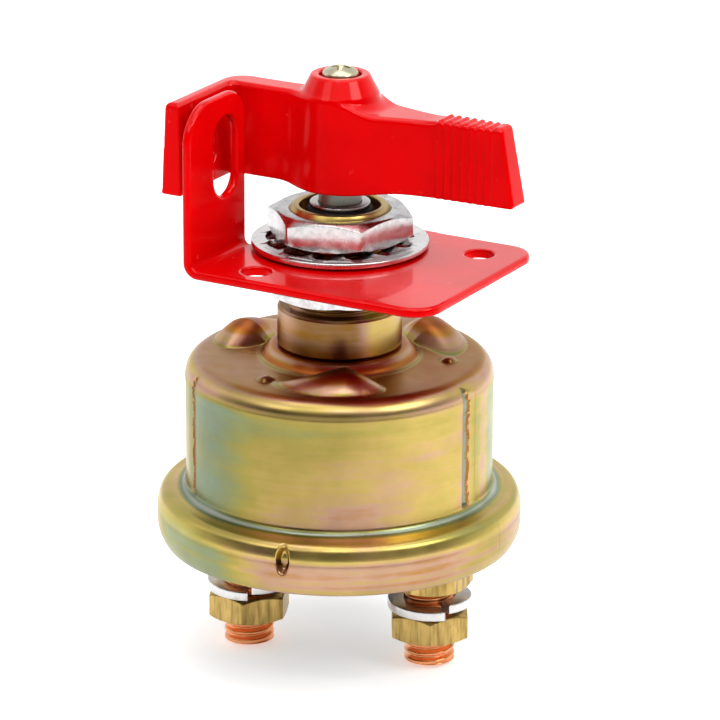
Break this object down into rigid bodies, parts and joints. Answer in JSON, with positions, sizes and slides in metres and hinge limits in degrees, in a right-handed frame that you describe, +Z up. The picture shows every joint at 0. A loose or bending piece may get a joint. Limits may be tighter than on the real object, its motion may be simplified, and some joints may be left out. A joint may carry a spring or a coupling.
{
  "type": "battery switch",
  "caption": "Panel-mounted battery master switch: yellow-zinc cup, threaded stem with nuts, red padlockable lever over a red lock plate, and threaded copper terminal studs.",
  "frame": {"origin": "axis of the threaded stem, on the underside of the lock plate, which is the seating face of the panel", "axes": "+Z up the stem away from the terminals, +X along the lock plate towards the lever's grip, +Y towards the back edge of the plate"},
  "size_m": [0.0717, 0.069, 0.1158],
  "materials": {
    "red_coat": "glossy powder coat",
    "zinc_yellow": "iridescent yellow zinc plate",
    "stem_bronze": "satin yellow passivated turned metal",
    "nickel": "bright nickel plate",
    "steel_bright": "bright zinc plate",
    "zinc_screw": "pale yellow zinc plate",
    "copper": "bare copper",
    "brass_nut": "brushed brass",
    "phenolic": "moulded phenolic",
    "nylon_natural": "moulded nylon",
    "rubber_black": "moulded rubber"
  },
  "bodies": {
    "switch_body": {"housing": "zinc_yellow", "base_plate": "phenolic", "base_gasket": "rubber_black", "stem": "stem_bronze", "stud_left": "copper", "stud_right": "copper", "base_nut_left": "brass_nut", "base_nut_right": "brass_nut", "lock_washer_left": "steel_bright", "lock_washer_right": "steel_bright", "terminal_nut_left": "brass_nut", "terminal_nut_right": "brass_nut", "lower_stem_nut": "nickel", "lock_plate": "red_coat", "tooth_washer": "nickel", "upper_stem_nut": "nickel"},
    "lever_body": {"lever": "red_coat", "lever_screw": "zinc_screw", "shaft": "steel_bright", "shaft_seal": "rubber_black", "shaft_washer": "steel_bright", "retaining_clip": "steel_bright", "rotor": "nylon_natural", "contact_spring": "steel_bright"},
    "bridge_body": {"contact_bridge": "copper", "spring_seat": "steel_bright"}
  },
  "joints": [
    {"name": "lever_turn", "type": "hinge", "parent": "switch_body", "child": "lever_body", "pos_m": [0, 0, 0], "axis": [0, 0, 1], "range_deg": [-90, 0]},
    {"name": "bridge_slide", "type": "slide", "parent": "lever_body", "child": "bridge_body", "axis": [0, 0, 1], "range_m": [0, 0.0015], "stiffness_N_per_m": 3000, "springref_m": -0.003, "deforming": ["contact_spring"]}
  ]
}
